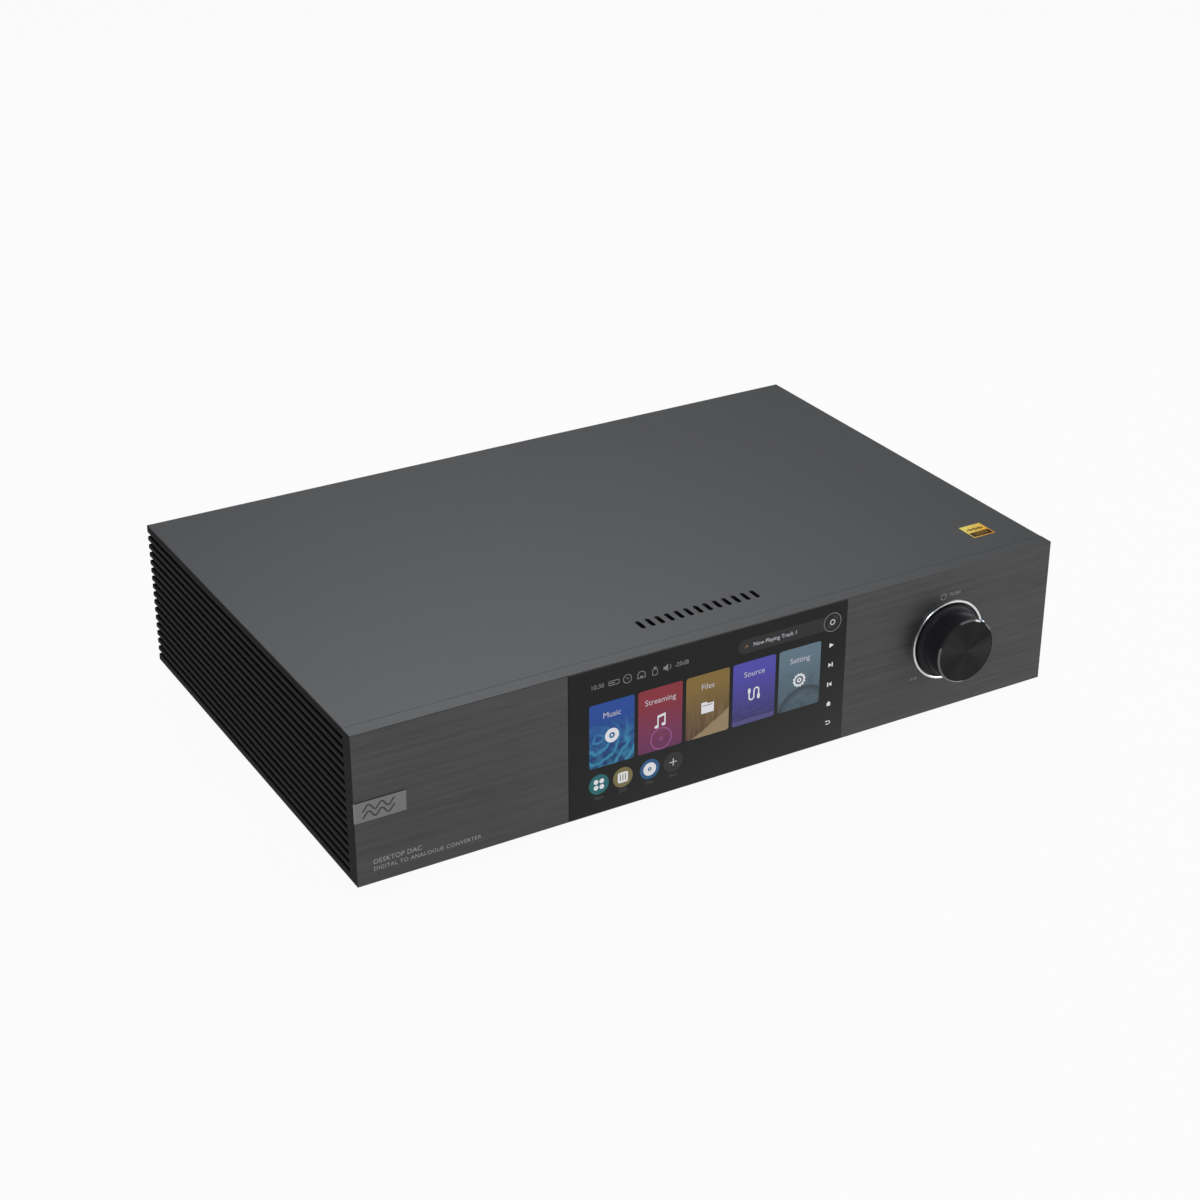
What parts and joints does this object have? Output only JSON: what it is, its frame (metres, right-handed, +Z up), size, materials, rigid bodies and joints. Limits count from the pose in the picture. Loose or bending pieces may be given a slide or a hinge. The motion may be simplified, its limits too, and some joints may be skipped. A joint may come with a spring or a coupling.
{
  "type": "desktop dac",
  "caption": "Low finned aluminium case with a touch display and a push-and-turn knob on the front, and audio, digital and mains sockets on the back.",
  "frame": {"origin": "middle of the bounding box in X and Y, on the surface it stands on", "axes": "+X to the right seen from the front, +Y from front to back, +Z up"},
  "size_m": [0.388, 0.2712, 0.09],
  "materials": {
    "case_grey": "dark grey anodised, bead blasted",
    "front_grey": "dark grey anodised, brushed lengthways",
    "fin_black": "black anodised extrusion",
    "steel_black": "fine black powder coat",
    "badge_silver": "brushed, grey",
    "foil_gold": "metallised film",
    "glass_black": "clear glass, printed black behind",
    "screen": "liquid crystal display module",
    "foot_black": "satin black",
    "pad_rubber": "soft black rubber",
    "screw_black": "black oxide",
    "screw_zinc": "zinc plated",
    "knob_black": "gloss black anodised, turned",
    "knob_face_black": "spun, dark anodised",
    "ring_chrome": "polished",
    "light_lens": "clear light pipe",
    "nickel": "nickel plated",
    "tin": "tinned steel sheet",
    "gold_plate": "gold plated",
    "board": "glass-fibre laminate with solder mask",
    "heatsink_black": "black anodised",
    "aluminium_plain": "plain mill finish",
    "capacitor_blue": "shrink sleeve over an aluminium can",
    "coil_amber": "film-wrapped winding on a steel core",
    "ribbon_white": "flat flexible cable",
    "wire_colours": "PVC insulated leads",
    "plastic_black": "moulded, satin black",
    "core_white": "moulded insulator with coloured collar",
    "rocker_black": "moulded, glossy"
  },
  "bodies": {
    "chassis": {"top_cover": "case_grey", "front_panel": "front_grey", "side_panel_left": "fin_black", "side_panel_right": "fin_black", "base_plate": "steel_black", "rear_panel": "steel_black", "corner_brackets": "aluminium_plain", "storage_hatch": "steel_black", "badge_plate": "badge_silver", "foil_label": "foil_gold", "feet": "foot_black", "foot_pads": "pad_rubber", "foot_screws": "screw_zinc", "rear_screws": "screw_black", "base_screws": "screw_zinc", "display_glass": "glass_black", "lcd_module": "screen", "display_bracket": "tin", "display_board": "board", "display_ribbon": "ribbon_white", "encoder_body": "nickel", "encoder_nut": "nickel", "encoder_board": "board", "knob_ring": "ring_chrome", "status_light": "light_lens", "main_board": "board", "processor_heatsink": "heatsink_black", "dac_board": "board", "dac_shield": "tin", "power_board": "board", "filter_capacitors": "capacitor_blue", "regulator_heatsink": "aluminium_plain", "power_transformer": "coil_amber", "transformer_clamp": "screw_zinc", "board_standoffs": "gold_plate", "mains_harness": "wire_colours", "xlr_output_sockets": "plastic_black", "xlr_input_sockets": "plastic_black", "rca_jacks": "gold_plate", "rca_insulators": "core_white", "optical_sockets": "plastic_black", "usb_ports": "nickel", "hdmi_port": "nickel", "ethernet_port": "nickel", "antenna_sockets": "gold_plate", "trigger_jacks": "plastic_black", "power_inlet": "plastic_black", "inlet_pins": "nickel"},
    "switch_plunger": {"switch_plunger": "plastic_black"},
    "knob": {"knob": "knob_black", "knob_face": "knob_face_black", "knob_set_screw": "screw_black", "encoder_shaft": "nickel"},
    "power_rocker": {"power_rocker": "rocker_black"},
    "fuse_drawer": {"fuse_drawer": "plastic_black", "fuse": "nickel"},
    "xlr_latch_upper": {"xlr_latch_upper": "nickel"},
    "xlr_latch_lower": {"xlr_latch_lower": "nickel"},
    "optical_shutter_in": {"optical_shutter_in": "plastic_black"},
    "optical_shutter_out": {"optical_shutter_out": "plastic_black"}
  },
  "joints": [
    {"name": "knob_push", "type": "slide", "parent": "chassis", "child": "switch_plunger", "axis": [0, 1, 0], "range_m": [0, 0.0008], "stiffness_N_per_m": 1500, "springref_m": -0.002},
    {"name": "knob_spin", "type": "hinge", "parent": "switch_plunger", "child": "knob", "pos_m": [0.1315, -0.1204, 0.051], "axis": [0, -1, 0], "continuous": true},
    {"name": "power_rocker_tilt", "type": "hinge", "parent": "chassis", "child": "power_rocker", "pos_m": [-0.15, 0.1251, 0.0655], "axis": [0, 0, -1], "range_deg": [0, 22]},
    {"name": "fuse_drawer_slide", "type": "slide", "parent": "chassis", "child": "fuse_drawer", "axis": [0, 1, 0], "range_m": [0, 0.024]},
    {"name": "xlr_latch_upper_press", "type": "slide", "parent": "chassis", "child": "xlr_latch_upper", "axis": [0, -1, 0], "range_m": [0, 0.002], "stiffness_N_per_m": 500, "springref_m": -0.002},
    {"name": "xlr_latch_lower_press", "type": "slide", "parent": "chassis", "child": "xlr_latch_lower", "axis": [0, -1, 0], "range_m": [0, 0.002], "stiffness_N_per_m": 500, "springref_m": -0.002},
    {"name": "optical_shutter_in_swing", "type": "hinge", "parent": "chassis", "child": "optical_shutter_in", "pos_m": [0.042, 0.1211, 0.03105], "axis": [-1, 0, 0], "range_deg": [0, 85], "stiffness_Nm_per_rad": 0.0005, "springref_deg": -28.65},
    {"name": "optical_shutter_out_swing", "type": "hinge", "parent": "chassis", "child": "optical_shutter_out", "pos_m": [0.024, 0.1211, 0.03105], "axis": [-1, 0, 0], "range_deg": [0, 85], "stiffness_Nm_per_rad": 0.0005, "springref_deg": -28.65}
  ]
}
